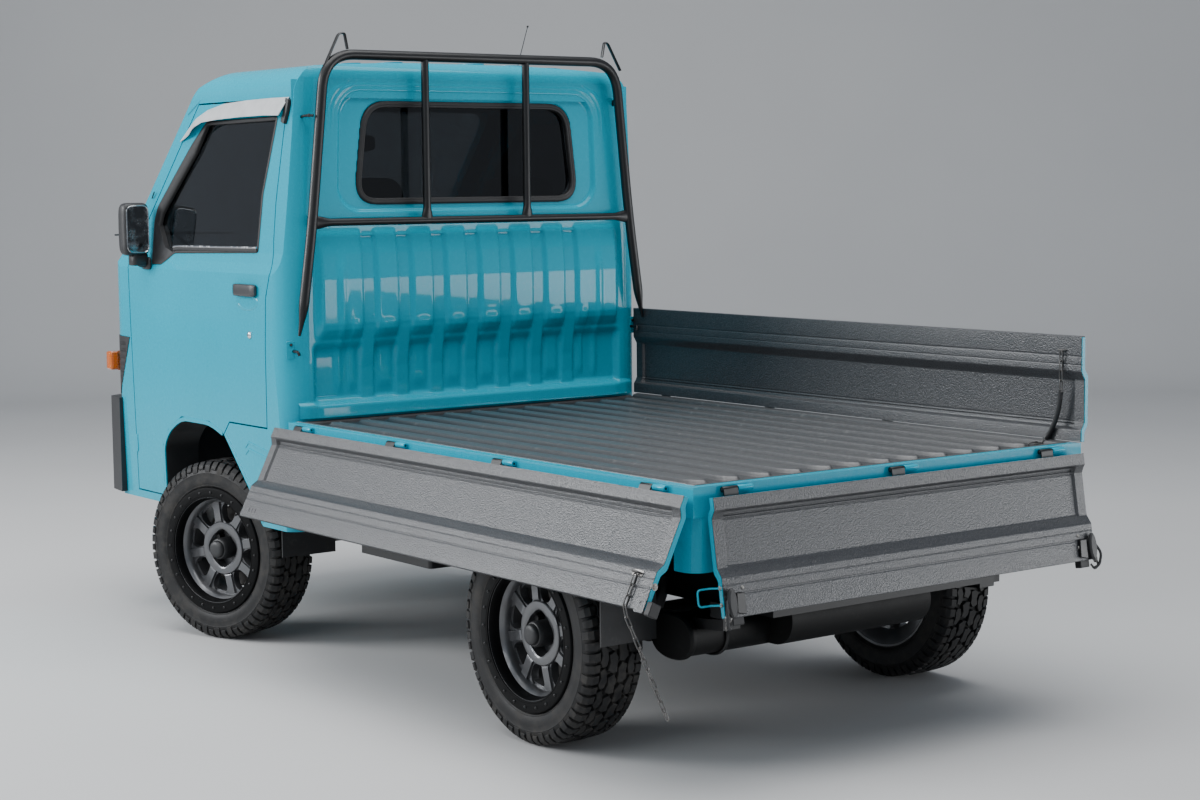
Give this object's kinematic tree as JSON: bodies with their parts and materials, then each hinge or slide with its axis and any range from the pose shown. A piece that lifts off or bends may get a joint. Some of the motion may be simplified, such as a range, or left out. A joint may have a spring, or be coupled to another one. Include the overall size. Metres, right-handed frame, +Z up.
{
  "type": "kei truck",
  "caption": "Small forward-control pickup with a hinged drop-side bed, cab guard frame, opening doors, steering and free-rolling wheels.",
  "frame": {"origin": "on the ground, in the middle of the truck's bounding box with the left and rear gates hanging open", "axes": "+X forward to the bumper, +Y to the truck's left, +Z up"},
  "size_m": [3.3825, 1.719, 2.0283],
  "materials": {
    "paint": "gloss turquoise paint",
    "bedliner": "sprayed textured bed coating",
    "black_steel": "satin black paint",
    "chain_steel": "dark galvanised steel",
    "clear_glass": "clear laminated glass",
    "tinted_glass": "dark tinted glass",
    "black_rubber": "matt black rubber",
    "black_plastic": "grained black plastic",
    "grey_plastic": "grained grey plastic",
    "visor_plastic": "silver grey plastic",
    "seat_fabric": "woven grey fabric",
    "lamp_glass": "clear lamp lens over a reflector",
    "amber_lens": "amber lens",
    "red_lens": "red lens",
    "cast_metal": "as cast with road film",
    "exhaust_steel": "dulled steel",
    "tyre": "black tread rubber",
    "wheel_alloy": "satin gunmetal"
  },
  "bodies": {
    "truck": {"bed_floor": "bedliner", "bed_rails": "paint", "cab_back": "paint", "cab_roof": "paint", "cab_front": "paint", "windscreen": "clear_glass", "rear_window": "tinted_glass", "window_seal": "black_rubber", "cab_floor": "paint", "dashboard": "grey_plastic", "seats": "seat_fabric", "steering_column": "black_steel", "front_bumper": "black_plastic", "front_lamps": "lamp_glass", "turn_signals": "amber_lens", "corner_vents": "black_plastic", "tail_lamps": "red_lens", "guard_frame": "black_steel", "guard_rail": "black_steel", "guard_bars": "black_steel", "chassis_frame": "black_steel", "engine": "cast_metal", "rear_axle": "black_steel", "leaf_springs": "black_steel", "front_suspension": "black_steel", "underbed_boxes": "black_steel", "exhaust": "exhaust_steel", "mud_flaps": "black_rubber", "aerial": "black_steel"},
    "steering_wheel": {"steering_wheel": "grey_plastic"},
    "knuckle_left": {"knuckle_left": "cast_metal"},
    "door_left": {"door_left": "paint", "door_glass_left": "tinted_glass", "door_fittings_left": "black_plastic", "rain_visor_left": "visor_plastic"},
    "knuckle_right": {"knuckle_right": "cast_metal"},
    "door_right": {"door_right": "paint", "door_glass_right": "tinted_glass", "door_fittings_right": "black_plastic", "rain_visor_right": "visor_plastic"},
    "wheel_front_left": {"tyre_front_left": "tyre", "rim_front_left": "wheel_alloy"},
    "wheel_front_right": {"tyre_front_right": "tyre", "rim_front_right": "wheel_alloy"},
    "wheel_rear_left": {"tyre_rear_left": "tyre", "rim_rear_left": "wheel_alloy"},
    "wheel_rear_right": {"tyre_rear_right": "tyre", "rim_rear_right": "wheel_alloy"},
    "gate_left": {"gate_left": "paint", "chain_left": "chain_steel"},
    "gate_right": {"gate_right": "paint", "chain_right": "chain_steel"},
    "gate_rear": {"gate_rear": "paint", "gate_latches": "black_steel"}
  },
  "joints": [
    {"name": "steer_left", "type": "hinge", "parent": "truck", "child": "knuckle_left", "pos_m": [0.88662, 0.52, 0.292], "axis": [0, 0, 1], "range_deg": [-51, 15]},
    {"name": "steer_right", "type": "hinge", "parent": "truck", "child": "knuckle_right", "pos_m": [0.88662, -0.52, 0.292], "axis": [0, 0, 1], "range_deg": [-51, 15]},
    {"name": "steering_wheel_turn", "type": "hinge", "parent": "truck", "child": "steering_wheel", "pos_m": [1.25375, -0.3, 1.04526], "axis": [-0.6157, 0, 0.788], "range_deg": [-765, 225]},
    {"name": "spin_front_left", "type": "hinge", "parent": "knuckle_left", "child": "wheel_front_left", "pos_m": [0.84954, 0.63413, 0.292], "axis": [-0.309, 0.9511, 0], "continuous": true},
    {"name": "spin_front_right", "type": "hinge", "parent": "knuckle_right", "child": "wheel_front_right", "pos_m": [0.9237, -0.63413, 0.292], "axis": [-0.309, 0.9511, 0], "continuous": true},
    {"name": "spin_rear_left", "type": "hinge", "parent": "truck", "child": "wheel_rear_left", "pos_m": [-0.95338, 0.64, 0.292], "axis": [0, 1, 0], "continuous": true},
    {"name": "spin_rear_right", "type": "hinge", "parent": "truck", "child": "wheel_rear_right", "pos_m": [-0.95338, -0.64, 0.292], "axis": [0, 1, 0], "continuous": true},
    {"name": "door_swing_left", "type": "hinge", "parent": "truck", "child": "door_left", "pos_m": [1.43262, 0.7, 0.9], "axis": [0, 0, -1], "range_deg": [0, 65]},
    {"name": "door_swing_right", "type": "hinge", "parent": "truck", "child": "door_right", "pos_m": [1.43262, -0.7, 0.9], "axis": [0, 0, 1], "range_deg": [0, 65]},
    {"name": "gate_swing_left", "type": "hinge", "parent": "truck", "child": "gate_left", "pos_m": [-0.62538, 0.6975, 0.735], "axis": [1, 0, 0], "range_deg": [0, 154]},
    {"name": "gate_swing_right", "type": "hinge", "parent": "truck", "child": "gate_right", "pos_m": [-0.62538, -0.6975, 0.735], "axis": [1, 0, 0], "range_deg": [0, 154]},
    {"name": "gate_swing_rear", "type": "hinge", "parent": "truck", "child": "gate_rear", "pos_m": [-1.61088, 0, 0.735], "axis": [0, 1, 0], "range_deg": [0, 171]}
  ],
  "couplings": [
    {"joint": "steer_right", "follows": "steer_left", "ratio": 1},
    {"joint": "steering_wheel_turn", "follows": "steer_left", "ratio": 15}
  ]
}
